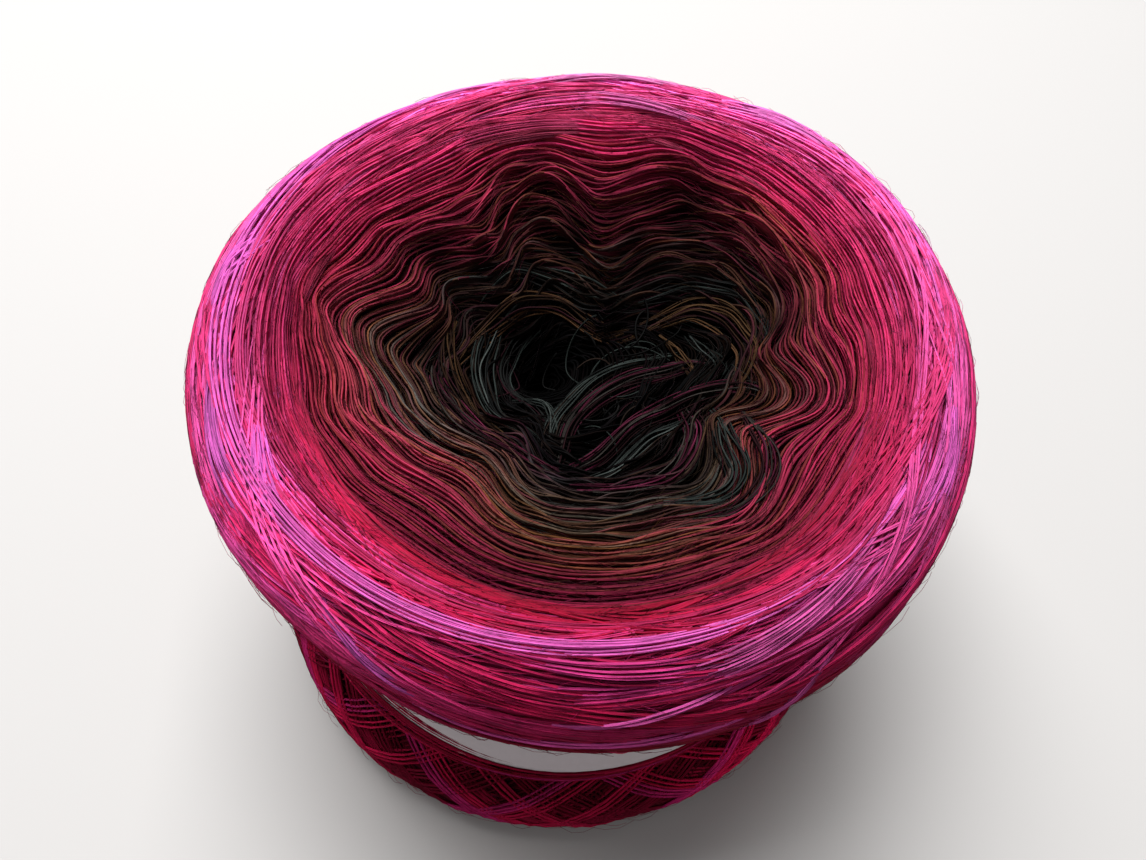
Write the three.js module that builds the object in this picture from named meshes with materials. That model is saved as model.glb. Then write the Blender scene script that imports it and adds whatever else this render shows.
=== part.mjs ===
// A wound cake of fine wool yarn, standing on its flat base, with a plain paper band round its waist.
// Millimetres, +Z up, origin at the middle of the flat base. The viewer stands at -Y.
import * as THREE from 'three';

// Driving sizes of the cake. The rim leans a little back and to the right of the base.
const stepsRound = 96;
const rimShift = { x: 3.4, y: 6.2 };
const rimShiftFrom = 18;
const rimShiftTo = 50;

// Driving sizes of the paper band
const bandThickness = 0.9;
const bandClearance = 0.35;
const bandFoot = 25.0;
const bandTop = 45.0;
const bandRows = 4;

// The outside of the winding from the edge of its base up to the crest of the rim, then down the
// sunken top to the middle. steps is how many rows of faces lead to the next section.
const sections = [
  { at: 'base edge', radius: 47.0, height: 0.0, steps: 1 },
  { at: 'foot roll', radius: 52.6, height: 2.6, steps: 2 },
  { at: 'lower wall', radius: 56.0, height: 9.5, steps: 2 },
  { at: 'lower shoulder', radius: 54.0, height: 17.5, steps: 2 },
  { at: 'band foot', radius: 48.6, height: 24.5, steps: 1 },
  { at: 'waist', radius: 47.9, height: 34.0, steps: 2 },
  { at: 'band top', radius: 49.0, height: 45.0, steps: 2 },
  { at: 'under the bulge', radius: 56.0, height: 52.0, steps: 2 },
  { at: 'widest turn', radius: 59.0, height: 62.0, steps: 2 },
  { at: 'outer shoulder', radius: 57.6, height: 71.0, steps: 2 },
  { at: 'crest', radius: 51.3, height: 78.6, steps: 2 },
  { at: 'inner lip', radius: 46.0, height: 76.6, steps: 1 },
  { at: 'first slope', radius: 42.6, height: 73.0, steps: 1 },
  { at: 'first ledge', radius: 39.8, height: 71.5, steps: 1 },
  { at: 'first edge', radius: 37.4, height: 70.9, steps: 1 },
  { at: 'second ledge', radius: 35.8, height: 69.0, steps: 1 },
  { at: 'second edge', radius: 32.6, height: 68.4, steps: 1 },
  { at: 'third ledge', radius: 31.0, height: 66.4, steps: 1 },
  { at: 'third edge', radius: 27.8, height: 65.8, steps: 1 },
  { at: 'fourth ledge', radius: 26.2, height: 63.6, steps: 1 },
  { at: 'fourth edge', radius: 23.0, height: 62.8, steps: 1 },
  { at: 'fifth ledge', radius: 21.4, height: 60.8, steps: 1 },
  { at: 'fifth edge', radius: 18.2, height: 60.2, steps: 1 },
  { at: 'sixth ledge', radius: 16.6, height: 58.2, steps: 1 },
  { at: 'inner bowl', radius: 13.0, height: 57.6, steps: 1 },
  { at: 'loose middle', radius: 9.5, height: 56.4, steps: 1 },
  { at: 'round the well', radius: 6.0, height: 55.6, steps: 1 },
  { at: 'in the well', radius: 3.0, height: 55.4, steps: 1 },
  { at: 'middle', radius: 0.0, height: 55.4, steps: 0 },
];

// The ledges are plain on the far side, where the turns lie in loose bunches, and shallow in front
const ledgeFacing = 85;
const ledgeShareFront = 0.25;
const ledgeShareFar = 1.0;
const ledgesFrom = 15;
const ledgesFull = 30;

// How far the winding is out of round: a wave count round the cake, its size and where it peaks
const outOfRound = [
  { waves: 2, size: 0.9, peakDeg: 2 },
  { waves: 3, size: 0.7, peakDeg: 47 },
];

// Main folds of the sunken top, at x and y from the middle of the rim. A fold moves the turns that
// pass there outwards by push, or inwards where it is negative. It reaches as far as along in the
// direction alongDeg, and as far as across to each side of it.
const folds = [
  { fold: 'far tuck', x: 2.5, y: 18, push: -9.0, alongDeg: 97, along: 13, across: 6.5 },
  { fold: 'right lobe', x: 22, y: 10, push: 9.5, alongDeg: 27, along: 13.5, across: 16 },
  { fold: 'far right lobe', x: 17.5, y: 34.5, push: 4.5, alongDeg: 63, along: 8, across: 6 },
  { fold: 'far left lobe', x: -11, y: 29, push: 2.5, alongDeg: 110, along: 10, across: 4 },
  { fold: 'left back tuck', x: -17, y: 20.5, push: -6.0, alongDeg: 130, along: 10, across: 7 },
  { fold: 'left inner lobe', x: -22, y: 12, push: 3.5, alongDeg: 150, along: 4, across: 4 },
  { fold: 'left corner', x: -33, y: 1, push: 5.0, alongDeg: 178, along: 9, across: 8 },
  { fold: 'left front tuck', x: -14.5, y: -20, push: -5.0, alongDeg: 54, along: 12, across: 9 },
  { fold: 'inner front tuck', x: -7, y: -8, push: -3.0, alongDeg: 54, along: 5, across: 5 },
  { fold: 'front flat', x: -2, y: -30, push: -1.7, alongDeg: 90, along: 10, across: 12 },
  { fold: 'front lobe', x: 21, y: -25, push: 3.2, alongDeg: 130, along: 11, across: 5.5 },
  { fold: 'right front tuck', x: 23.5, y: -14, push: -4.5, alongDeg: 117, along: 8, across: 3.8 },
  { fold: 'right front lobe', x: 36, y: -9, push: 5.0, alongDeg: 165, along: 7, across: 5 },
  { fold: 'right tuck', x: 32, y: 0.5, push: -4.0, alongDeg: 0, along: 4.5, across: 3.4 },
];
const foldsEndFrom = 44;
const foldsEndAt = 51;

// Hollows that the loose inner turns leave between them, at x and y from the middle of the rim
const hollows = [
  { hollow: 'well', x: -8.5, y: 7.5, radius: 6.5, depth: 10.5 },
  { hollow: 'right eye', x: 20, y: 14, radius: 6.0, depth: 4.5 },
  { hollow: 'front slit', x: 4, y: -15, radius: 4.0, depth: 3.5 },
  { hollow: 'far pocket', x: -4, y: 26, radius: 5.0, depth: 3.5 },
  { hollow: 'far right pocket', x: 16, y: 30, radius: 5.5, depth: 3.0 },
  { hollow: 'left pocket', x: -26, y: 4, radius: 4.0, depth: 2.0 },
  { hollow: 'right slit', x: 14, y: -8, radius: 3.5, depth: 2.5 },
];

// The rows of faces on the top close in on the well, and each lies this far inside the last
const rowsMiddle = { x: -8.0, y: 7.0 };
const rowsMiddleReach = 32;
const leastRowStep = 0.8;
const mostRowStep = 4.0;
const searchStep = 0.1;
const rowsFollowFoldsTo = 25;

const radians = Math.PI / 180;

// A smooth rise from 0 at low to 1 at high
function easeBetween(low, high, value) {
  const share = Math.min(1, Math.max(0, (value - low) / (high - low)));
  return share * share * (3 - 2 * share);
}

// Out-of-round share of a turn, in millimetres
function roundness(angleDeg) {
  let sum = 0;
  for (const wave of outOfRound) {
    sum += wave.size * Math.cos(wave.waves * (angleDeg - wave.peakDeg) * radians);
  }
  return sum;
}

// How far the folds move the turns that pass a point of the top
function foldPush(x, y) {
  let sum = 0;
  for (const fold of folds) {
    const cosine = Math.cos(fold.alongDeg * radians);
    const sine = Math.sin(fold.alongDeg * radians);
    const along = ((x - fold.x) * cosine + (y - fold.y) * sine) / fold.along;
    const across = ((y - fold.y) * cosine - (x - fold.x) * sine) / fold.across;
    sum += fold.push * Math.exp(-along * along - across * across);
  }
  return sum * (1 - easeBetween(foldsEndFrom, foldsEndAt, Math.hypot(x, y)));
}

// How far the hollows lower a point of the top
function hollowDepth(x, y) {
  let sum = 0;
  for (const hollow of hollows) {
    const away = Math.hypot(x - hollow.x, y - hollow.y) / hollow.radius;
    sum += hollow.depth * Math.exp(-away * away);
  }
  return sum;
}

// Share of a ledge's step at this angle, for a turn of this radius
function ledgeShare(angleDeg, turn) {
  const facing = 0.5 + 0.5 * Math.cos((angleDeg - ledgeFacing) * radians);
  const share = ledgeShareFront + (ledgeShareFar - ledgeShareFront) * facing;
  return share * easeBetween(ledgesFrom, ledgesFull, turn);
}

// A point of the outside of the winding, below its crest
function outsidePoint(angleDeg, radius, height) {
  const lean = easeBetween(rimShiftFrom, rimShiftTo, height);
  const reach = radius + roundness(angleDeg) * lean;
  return new THREE.Vector3(
    rimShift.x * lean + reach * Math.cos(angleDeg * radians),
    rimShift.y * lean + reach * Math.sin(angleDeg * radians),
    height,
  );
}

// The place at this angle and reach from the middle that the rows close in on
function placeOnTop(angleDeg, reach) {
  const inner = 1 - easeBetween(0, rowsMiddleReach, reach);
  return {
    x: reach * Math.cos(angleDeg * radians) + rowsMiddle.x * inner,
    y: reach * Math.sin(angleDeg * radians) + rowsMiddle.y * inner,
  };
}

// Radius of the turn that passes a place on the top, before the folds moved it
function turnAt(place) {
  const angleDeg = Math.atan2(place.y, place.x) / radians;
  const reach = Math.hypot(place.x, place.y);
  const outer = roundness(angleDeg) * easeBetween(rowsMiddleReach, sections[0].radius, reach);
  return Math.max(0, reach - outer - foldPush(place.x, place.y));
}

// Height of a turn of the top, from the two rows that it lies between
function turnHeight(topRows, turn, key) {
  const outer = topRows.findLastIndex((row) => row.radius >= turn);
  const from = topRows[Math.max(0, Math.min(outer, topRows.length - 2))];
  const to = topRows[topRows.indexOf(from) + 1];
  const share = Math.min(1, Math.max(0, (from.radius - turn) / (from.radius - to.radius)));
  return from[key] + (to[key] - from[key]) * share;
}

// How far out each row of the top lies at this angle, searched inwards from the crest
function rowReaches(angleDeg, topRows) {
  const reaches = [];
  let last = topRows[0].radius + roundness(angleDeg);
  topRows.forEach((row, index) => {
    let reach = last;
    if (index > 0 && row.radius > rowsFollowFoldsTo) {
      const end = Math.max(last - mostRowStep, row.radius / 4);
      reach = last - leastRowStep;
      while (reach > end && turnAt(placeOnTop(angleDeg, reach)) > row.radius) {
        reach -= searchStep;
      }
    } else if (index > 0) {
      reach = (last * row.radius) / topRows[index - 1].radius;
    }
    reaches.push(reach);
    last = reach;
  });
  return reaches;
}

// Rings of points down the sunken top, from the crest to just short of its middle
function topRings(topRows) {
  const reaches = [];
  for (let column = 0; column < stepsRound; column += 1) {
    reaches.push(rowReaches(angleOf(column), topRows));
  }
  return topRows.slice(0, -1).map((row, index) => {
    const ring = [];
    for (let column = 0; column < stepsRound; column += 1) {
      const before = reaches[(column + stepsRound - 1) % stepsRound][index];
      const after = reaches[(column + 1) % stepsRound][index];
      const reach = (before + 2 * reaches[column][index] + after) / 4;
      ring.push(topPoint(angleOf(column), reach, topRows));
    }
    return ring;
  });
}

// A point of the sunken top
function topPoint(angleDeg, reach, topRows) {
  const place = placeOnTop(angleDeg, reach);
  const turn = turnAt(place);
  const plain = turnHeight(topRows, turn, 'plainHeight');
  const stepped = turnHeight(topRows, turn, 'height');
  const ledged = plain + (stepped - plain) * ledgeShare(angleDeg, turn);
  const height = ledged - hollowDepth(place.x, place.y);
  return new THREE.Vector3(rimShift.x + place.x, rimShift.y + place.y, height);
}

// Height of a row with its step evened out between the rows on either side
function plainHeight(rows, index) {
  if (index === 0 || index === rows.length - 1) {
    return rows[index].height;
  }
  const before = rows[index - 1];
  const after = rows[index + 1];
  const share = (rows[index].radius - before.radius) / (after.radius - before.radius);
  return rows[index].onTop ? before.height + (after.height - before.height) * share : rows[index].height;
}

// Rows of faces up the outside and down the sunken top, from the section table
function windingRows() {
  const curve = new THREE.CatmullRomCurve3(
    sections.map((section) => new THREE.Vector3(section.radius, 0, section.height)),
    false,
    'centripetal',
  );
  const crestIndex = sections.findIndex((section) => section.at === 'crest');
  const rows = [];
  sections.forEach((section, index) => {
    for (let step = 0; step < Math.max(1, section.steps); step += 1) {
      const along = index + step / Math.max(1, section.steps);
      const point = curve.getPoint(along / (sections.length - 1));
      rows.push({ radius: point.x, height: point.z, onTop: along > crestIndex });
    }
  });
  rows.forEach((row, index) => {
    row.plainHeight = plainHeight(rows, index);
  });
  return rows;
}

// A closed body from rings of points, capped by a fan on a middle point at each end
function cappedBody(rings, firstMiddle, lastMiddle) {
  const count = rings[0].length;
  const positions = [];
  rings.forEach((ring) => ring.forEach((point) => positions.push(point.x, point.y, point.z)));
  const firstIndex = positions.length / 3;
  positions.push(firstMiddle.x, firstMiddle.y, firstMiddle.z);
  const lastIndex = firstIndex + 1;
  positions.push(lastMiddle.x, lastMiddle.y, lastMiddle.z);
  const faces = [];
  for (let row = 0; row < rings.length - 1; row += 1) {
    for (let column = 0; column < count; column += 1) {
      const next = (column + 1) % count;
      const a = row * count + column;
      const b = row * count + next;
      const c = (row + 1) * count + next;
      const d = (row + 1) * count + column;
      faces.push(a, b, c, a, c, d);
    }
  }
  const lastRow = (rings.length - 1) * count;
  for (let column = 0; column < count; column += 1) {
    const next = (column + 1) % count;
    faces.push(firstIndex, next, column);
    faces.push(lastIndex, lastRow + column, lastRow + next);
  }
  return bodyGeometry(positions, faces);
}

// A closed ring body from a section of points that goes all the way round
function ringBody(rings) {
  const count = rings[0].length;
  const positions = [];
  rings.forEach((ring) => ring.forEach((point) => positions.push(point.x, point.y, point.z)));
  const faces = [];
  for (let row = 0; row < rings.length; row += 1) {
    const following = (row + 1) % rings.length;
    for (let column = 0; column < count; column += 1) {
      const next = (column + 1) % count;
      const a = row * count + column;
      const b = row * count + next;
      const c = following * count + next;
      const d = following * count + column;
      faces.push(a, b, c, a, c, d);
    }
  }
  return bodyGeometry(positions, faces);
}

function bodyGeometry(positions, faces) {
  const geometry = new THREE.BufferGeometry();
  geometry.setAttribute('position', new THREE.Float32BufferAttribute(positions, 3));
  geometry.setIndex(faces);
  geometry.computeVertexNormals();
  return geometry;
}

function angleOf(column) {
  return (column * 360) / stepsRound;
}

// The cake: one solid of its wound form, with the sunken top and its folds
function woundCake() {
  const rows = windingRows();
  const crestRow = rows.findIndex((row) => row.onTop) - 1;
  const outsideRings = rows.slice(0, crestRow).map((row) => {
    const ring = [];
    for (let column = 0; column < stepsRound; column += 1) {
      ring.push(outsidePoint(angleOf(column), row.radius, row.height));
    }
    return ring;
  });
  const topRows = rows.slice(crestRow);
  const rings = [...outsideRings, ...topRings(topRows)];
  return cappedBody(rings, new THREE.Vector3(0, 0, 0), topPoint(0, 0, topRows));
}

// Radius of the waist under the band at a height, from the same rows as the cake
function waistRadius(rows, height) {
  for (let index = 1; index < rows.length; index += 1) {
    const below = rows[index - 1];
    const above = rows[index];
    if (!above.onTop && below.height <= height && above.height >= height) {
      const share = (height - below.height) / (above.height - below.height);
      return below.radius + share * (above.radius - below.radius);
    }
  }
  return rows[0].radius;
}

// The band: a paper ring that hugs the waist, a little clear of the wool
function paperBand() {
  const rows = windingRows();
  const heights = [];
  for (let row = 0; row <= bandRows; row += 1) {
    heights.push(bandFoot + ((bandTop - bandFoot) * row) / bandRows);
  }
  const tightest = Math.max(...heights.map((height) => waistRadius(rows, height)));
  const ringAt = (height, outwards) => {
    const ring = [];
    for (let column = 0; column < stepsRound; column += 1) {
      ring.push(outsidePoint(angleOf(column), tightest + outwards, height));
    }
    return ring;
  };
  const outer = heights.map((height) => ringAt(height, bandClearance + bandThickness));
  const inner = [...heights].reverse().map((height) => ringAt(height, bandClearance));
  return ringBody([...outer, ...inner]);
}

const woolMaterial = new THREE.MeshStandardMaterial({
  color: 0xb01a5c,
  roughness: 0.9,
  metalness: 0.0,
});

const paperMaterial = new THREE.MeshStandardMaterial({
  color: 0xece9ea,
  roughness: 0.75,
  metalness: 0.0,
});

const cake = new THREE.Mesh(woundCake(), woolMaterial);
cake.name = 'wound_cake';

const band = new THREE.Mesh(paperBand(), paperMaterial);
band.name = 'paper_band';

const yarn = new THREE.Group();
yarn.add(cake, band);

export default yarn;
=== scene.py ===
import math

import bmesh
import bpy
import numpy as np
from mathutils import Matrix, Vector
from mathutils.bvhtree import BVHTree


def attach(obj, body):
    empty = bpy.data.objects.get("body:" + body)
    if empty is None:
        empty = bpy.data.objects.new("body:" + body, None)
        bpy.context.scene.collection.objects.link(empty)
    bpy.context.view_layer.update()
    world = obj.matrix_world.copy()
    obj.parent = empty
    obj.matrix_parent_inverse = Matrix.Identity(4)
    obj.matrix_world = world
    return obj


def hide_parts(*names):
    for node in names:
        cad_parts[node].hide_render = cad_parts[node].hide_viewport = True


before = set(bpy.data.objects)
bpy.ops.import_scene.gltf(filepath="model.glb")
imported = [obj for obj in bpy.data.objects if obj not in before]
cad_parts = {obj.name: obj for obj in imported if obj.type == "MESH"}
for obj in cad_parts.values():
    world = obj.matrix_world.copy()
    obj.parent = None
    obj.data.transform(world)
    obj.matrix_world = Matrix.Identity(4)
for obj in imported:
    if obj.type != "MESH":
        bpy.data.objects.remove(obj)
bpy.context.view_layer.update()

mm = 0.001


# camera, light and floor

cameraFacts = {
    "place": (0.00196, -0.07422, 0.17591),
    "right": (0.99971, 0.02078, 0.01251),
    "up": (-0.02426, 0.85652, 0.51554),
    "forward": (0.0, 0.51570, -0.85677),
    "lens": 27.016,
    "sensor": 36.0,
    "nearest": 0.01,
    "farthest": 20,
}

lightFacts = {
    "skyColour": (0.99, 0.985, 0.985),
    "skyStrength": 0.22,
    "windowPlace": (-0.12, 0.42, 0.95),
    "windowSize": 0.75,
    "windowPower": 21.5,
    "windowColour": (1.0, 0.99, 0.985),
    "fillPlace": (-0.25, -0.35, 0.9),
    "fillSize": 0.9,
    "fillPower": 0.6,
    "aim": (0, 0, 0.05),
}

floorFacts = {
    "size": 3.0,
    "drop": 0.0002,  # below the base, so that the two faces don't share a plane
    "colour": "#BAB9B8",
    "roughness": 0.85,
}


def linearColour(hexCode):
    parts = [int(hexCode[at:at + 2], 16) / 255 for at in (1, 3, 5)]
    return np.array([part / 12.92 if part <= 0.04045 else ((part + 0.055) / 1.055) ** 2.4
                     for part in parts])


def addObject(name, data):
    made = bpy.data.objects.new(name, data)
    bpy.context.collection.objects.link(made)
    return made


def makeCamera():
    data = bpy.data.cameras.new("photoCamera")
    data.lens = cameraFacts["lens"]
    data.sensor_width = cameraFacts["sensor"]
    data.clip_start, data.clip_end = cameraFacts["nearest"], cameraFacts["farthest"]
    camera = addObject("photoCamera", data)
    right, up = Vector(cameraFacts["right"]), Vector(cameraFacts["up"])
    back = -Vector(cameraFacts["forward"])
    turn = Matrix((right, up, back)).transposed()
    camera.matrix_world = Matrix.Translation(cameraFacts["place"]) @ turn.to_4x4()
    bpy.context.scene.camera = camera


def makeAreaLight(kind):
    data = bpy.data.lights.new(kind + "Light", "AREA")
    data.shape = "SQUARE"
    data.size = lightFacts[kind + "Size"]
    data.energy = lightFacts[kind + "Power"]
    data.color = lightFacts["windowColour"]
    light = addObject(kind + "Light", data)
    light.location = lightFacts[kind + "Place"]
    aim = Vector(lightFacts["aim"]) - light.location
    light.rotation_euler = aim.to_track_quat("-Z", "Y").to_euler()


def makeLights():
    bpy.context.scene.view_settings.view_transform = "Standard"
    world = bpy.data.worlds.new("softSky")
    bpy.context.scene.world = world
    world.use_nodes = True
    sky = world.node_tree.nodes["Background"]
    sky.inputs["Color"].default_value = (*lightFacts["skyColour"], 1)
    sky.inputs["Strength"].default_value = lightFacts["skyStrength"]
    makeAreaLight("window")
    makeAreaLight("fill")


class Shade:  # a socket, so that shader sums are written as Python
    def __init__(self, recipe, socket):
        self.recipe, self.socket = recipe, socket

    def maths(self, operation, first, second=0.0):
        return self.recipe.node("ShaderNodeMath", {"operation": operation}, {0: first, 1: second})

    def __add__(self, other):
        return self.maths("ADD", self, other)

    def __mul__(self, other):
        return self.maths("MULTIPLY", self, other)

    def __truediv__(self, other):
        return self.maths("DIVIDE", self, other)

    def sine(self):
        return self.maths("SINE", self)

    __radd__ = __add__
    __rmul__ = __mul__


class Recipe:
    def __init__(self, name):
        self.material = bpy.data.materials.new(name)
        self.material.use_nodes = True
        self.tree = self.material.node_tree
        self.shader = self.tree.nodes["Principled BSDF"]

    def node(self, kind, settings=None, inputs=None, output=0):
        made = self.tree.nodes.new(kind)
        for name, value in (settings or {}).items():
            setattr(made, name, value)
        for name, value in (inputs or {}).items():
            self.feed(made.inputs[name], value)
        return Shade(self, made.outputs[output])

    def feed(self, socket, value):
        if isinstance(value, Shade):
            self.tree.links.new(value.socket, socket)
        else:
            socket.default_value = value

    def shade(self, **inputs):
        for name, value in inputs.items():
            self.feed(self.shader.inputs[name.replace("_", " ")], value)
        return self.material

    def tint(self, colour, amount):  # a colour made lighter or darker by a number that varies
        return self.node("ShaderNodeMix", {"data_type": "RGBA", "blend_type": "MULTIPLY"},
                         {0: 1.0, 6: colour, 7: amount}, output=2)


def makeFloor():
    recipe = Recipe("palePlainFloor")
    recipe.shade(Base_Color=(*linearColour(floorFacts["colour"]), 1), Roughness=floorFacts["roughness"])
    bpy.ops.object.select_all(action="DESELECT")
    bpy.ops.mesh.primitive_plane_add(size=floorFacts["size"], location=(0, 0, -floorFacts["drop"]))
    floor = bpy.context.active_object
    floor.name = "floor"
    floor.data.materials.append(recipe.material)


print("camera, light and floor")
makeCamera()
makeLights()
makeFloor()


# where the wound surface lies, felt out on the solid

cakeFacts = {
    "rimCentre": (3.4, 6.2),
    "shiftFrom": 18.0,
    "shiftTo": 50.0,
    "rimRadius": 57,
    "wallRadius": 54,
    "waistRadius": 52,
    # radius and height of the outside, from the base edge over the rim into the sunken top
    "outline": [
        (47.0, 0.4), (52.6, 2.6), (55.2, 6.0), (56.0, 9.5), (55.4, 14.0), (54.0, 17.5), (51.0, 21.5),
        (48.6, 24.5), (47.9, 34.0), (49.0, 45.0), (52.5, 48.6), (56.0, 52.0), (58.2, 57.0), (59.0, 62.0),
        (58.8, 67.0), (57.6, 71.0), (55.0, 75.6), (51.3, 78.6), (48.4, 78.2), (46.0, 76.6), (43.6, 74.2),
        (41.8, 72.4),
    ],
}

rimX, rimY = cakeFacts["rimCentre"]


def ease(start, end, value):
    share = np.clip((value - start) / (end - start), 0, 1)
    return share * share * (3 - 2 * share)


def apartFrom(degrees, atDeg):  # from -180 to 180
    return (degrees - atDeg + 180) % 360 - 180


def bellAt(theta, atDeg, width):
    return np.exp(-(apartFrom(np.degrees(theta), atDeg) / width) ** 2)


def angles(steps):
    return np.arange(steps) * 2 * math.pi / steps


def running(lengths):  # from nothing, the sum so far
    return np.concatenate([[0], np.cumsum(lengths)])


def unit(rows):  # each row made one long
    return rows / (np.linalg.norm(rows, axis=1)[:, None] + 1e-12)


def between(at, marks, rows):  # each column of the rows, read between its marks
    return np.stack([np.interp(at, marks, rows[:, column]) for column in range(rows.shape[1])], 1)


def axisAt(height):
    share = ease(cakeFacts["shiftFrom"], cakeFacts["shiftTo"], height)
    return share * rimX, share * rimY


fieldFacts = {
    "around": 240,
    "step": 0.8,  # mm along the outline
    "feelFrom": 8,  # mm outside the outline
    "feelReach": 0.02,  # metres
}


class WallField:  # the outside of the solid, by the angle and the way along its outline
    def __init__(self, tree):
        around = fieldFacts["around"]
        outline = np.array(cakeFacts["outline"])
        lengths = running(np.hypot(*np.diff(outline, axis=0).T))
        self.total = lengths[-1]
        self.along = int(self.total / fieldFacts["step"]) + 1
        self.around = around
        radius, height = between(np.linspace(0, self.total, self.along), lengths, outline).T
        self.height = height
        out = np.stack([np.gradient(height), -np.gradient(radius)], 1)
        out = unit(out)
        for turn in range(3):
            out[1:-1] = (out[:-2] + out[1:-1] + out[2:]) / 3
        out = unit(out)
        points = np.zeros((around, self.along, 3))
        normals = np.zeros((around, self.along, 3))
        for index, angle in enumerate(angles(around)):
            c, s = math.cos(angle), math.sin(angle)
            for place in range(self.along):
                shift = axisAt(height[place])
                normal = np.array([out[place, 0] * c, out[place, 0] * s, out[place, 1]])
                start = np.array([shift[0] + radius[place] * c, shift[1] + radius[place] * s,
                                  height[place]])
                origin = start + normal * fieldFacts["feelFrom"]
                hit = tree.ray_cast(Vector(origin * mm), Vector(-normal), fieldFacts["feelReach"])[0]
                points[index, place] = np.array(hit) / mm if hit else start
                normals[index, place] = normal
        self.points, self.normals = points, normals

    def pick(self, grid, theta, along):
        column = (theta / (2 * math.pi) * self.around) % self.around
        row = np.clip(along / self.total * (self.along - 1), 0, self.along - 1.001)
        left, low = column.astype(int) % self.around, row.astype(int)
        right = (left + 1) % self.around
        across, up = (column - np.floor(column))[:, None], (row - low)[:, None]
        return ((grid[left, low] * (1 - across) + grid[right, low] * across) * (1 - up)
                + (grid[left, low + 1] * (1 - across) + grid[right, low + 1] * across) * up)

    def at(self, theta, along, lift):
        normal = self.pick(self.normals, theta, along)
        return self.pick(self.points, theta, along) + normal * np.reshape(lift, (-1, 1)), normal

    def alongAt(self, height):  # the way along the outline where the outside first reaches this height
        return np.argmax(self.height >= height) / (self.along - 1) * self.total


def cakeTree():
    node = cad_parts["wound_cake"]
    shape = bmesh.new()
    shape.from_mesh(node.data)
    tree = BVHTree.FromBMesh(shape)
    shape.free()
    return tree


print("feeling out the wound surface")
wallField = WallField(cakeTree())


# colours: four threads run side by side and each changes colour at its own turn

threadColours = [
    [(0, "#0A0B0C"), (14, "#101314"), (22, "#1E2422"), (28, "#262E2C"), (31, "#2A1A1A"), (36, "#5E162C"),
     (40, "#821C3A"), (44, "#A42656"), (49, "#BC4484"), (60, "#C858A8")],
    [(0, "#0C0908"), (15, "#1C120C"), (23, "#322010"), (30, "#523216"), (36, "#58301E"), (40, "#6E2422"),
     (43, "#982244"), (49, "#B83C70"), (60, "#C84A8E")],
    [(0, "#090708"), (13, "#170810"), (21, "#300C1A"), (28, "#521028"), (34, "#741834"), (40, "#861A3C"),
     (45, "#A42450"), (52, "#9A2450"), (60, "#7A1038")],
    [(0, "#0D0D0E"), (12, "#151516"), (24, "#26110F"), (31, "#480F1E"), (37, "#66162E"), (41, "#801C38"),
     (44, "#A62850"), (50, "#AA2C5A"), (60, "#B04A7C")],
]

toneFacts = {  # thread that comes up there, degrees, turn, half width in degrees and in mm, strength
    "grey left": (0, 178, 31, 12, 3.0, 3.0),
    "grey lower left": (0, 203, 26, 16, 3.0, 3.0),
    "grey right front": (0, 318, 25, 14, 3.0, 3.0),
    "grey far left": (0, 140, 27, 10, 2.5, 2.5),
    "brown front": (1, 262, 30, 24, 2.4, 1.6),
    "brown right front": (1, 323, 31, 12, 2.2, 3.0),
    "brown far right": (1, 36, 38, 18, 3.0, 2.5),
    "brown left": (1, 190, 36, 30, 4.0, 1.6),
    "brown left inner": (1, 182, 30, 14, 4.0, 1.5),
    "red right": (2, 345, 33, 14, 5.0, 2.0),
    "red lower left": (2, 226, 36, 16, 4.0, 2.5),
    "red far": (3, 84, 33, 16, 4.0, 2.5),
}

frontFacts = {
    "atDeg": 270,
    "halfWidth": 50,
    "shift": 6.6,  # at the front each colour starts this many mm further out
    "shade": 0.34,  # and the crimson turns there are this much darker
    "shadeTurn": 44.5,
    "shadeReach": 3.5,
}


def colourAt(table, place):
    colours = np.array([linearColour(stop[1]) for stop in table])
    return between(place, [stop[0] for stop in table], colours)


def threadColour(thread, turn, theta=None):
    shade = 1
    if theta is not None:
        front = bellAt(theta, frontFacts["atDeg"], frontFacts["halfWidth"])
        away = (turn - frontFacts["shadeTurn"]) / frontFacts["shadeReach"]
        shade = 1 - frontFacts["shade"] * front * np.exp(-away ** 2)
        turn = turn - frontFacts["shift"] * front
    return colourAt(threadColours[thread], turn) * np.reshape(shade, (-1, 1))


def pickColour(table, chance):
    drawn, reached = chance.uniform(), 0.0
    for share, hexCode in table:
        reached += share
        if drawn <= reached:
            break
    return linearColour(hexCode)


# strands are joined tubes with three sides, each with its colour and a way along it

yarnFacts = {
    "sides": 3,  # of each tube
    "pliesAround": 4.0,  # fine threads side by side in each strand
    "pliesPitch": 9.0,  # mm of strand in which they go once round it
    "pliesDepth": 0.00010,
    "fibreLength": 1.3,  # mm
    "fibresAround": 7.0,
    "blotchScale": 260.0,
    "roughness": 0.8,
    "sheenRoughness": 0.35,
    "sheenTint": (1.0, 0.62, 0.82, 1),
}


def paintPoints(mesh, colours):
    # the thread colours, with the painted light and shade multiplied in
    paint = mesh.color_attributes.new("yarnColourWithPaintedLight", "FLOAT_COLOR", "POINT")
    paint.data.foreach_set("color", np.concatenate([colours, np.ones((len(colours), 1))], 1).ravel())


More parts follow.
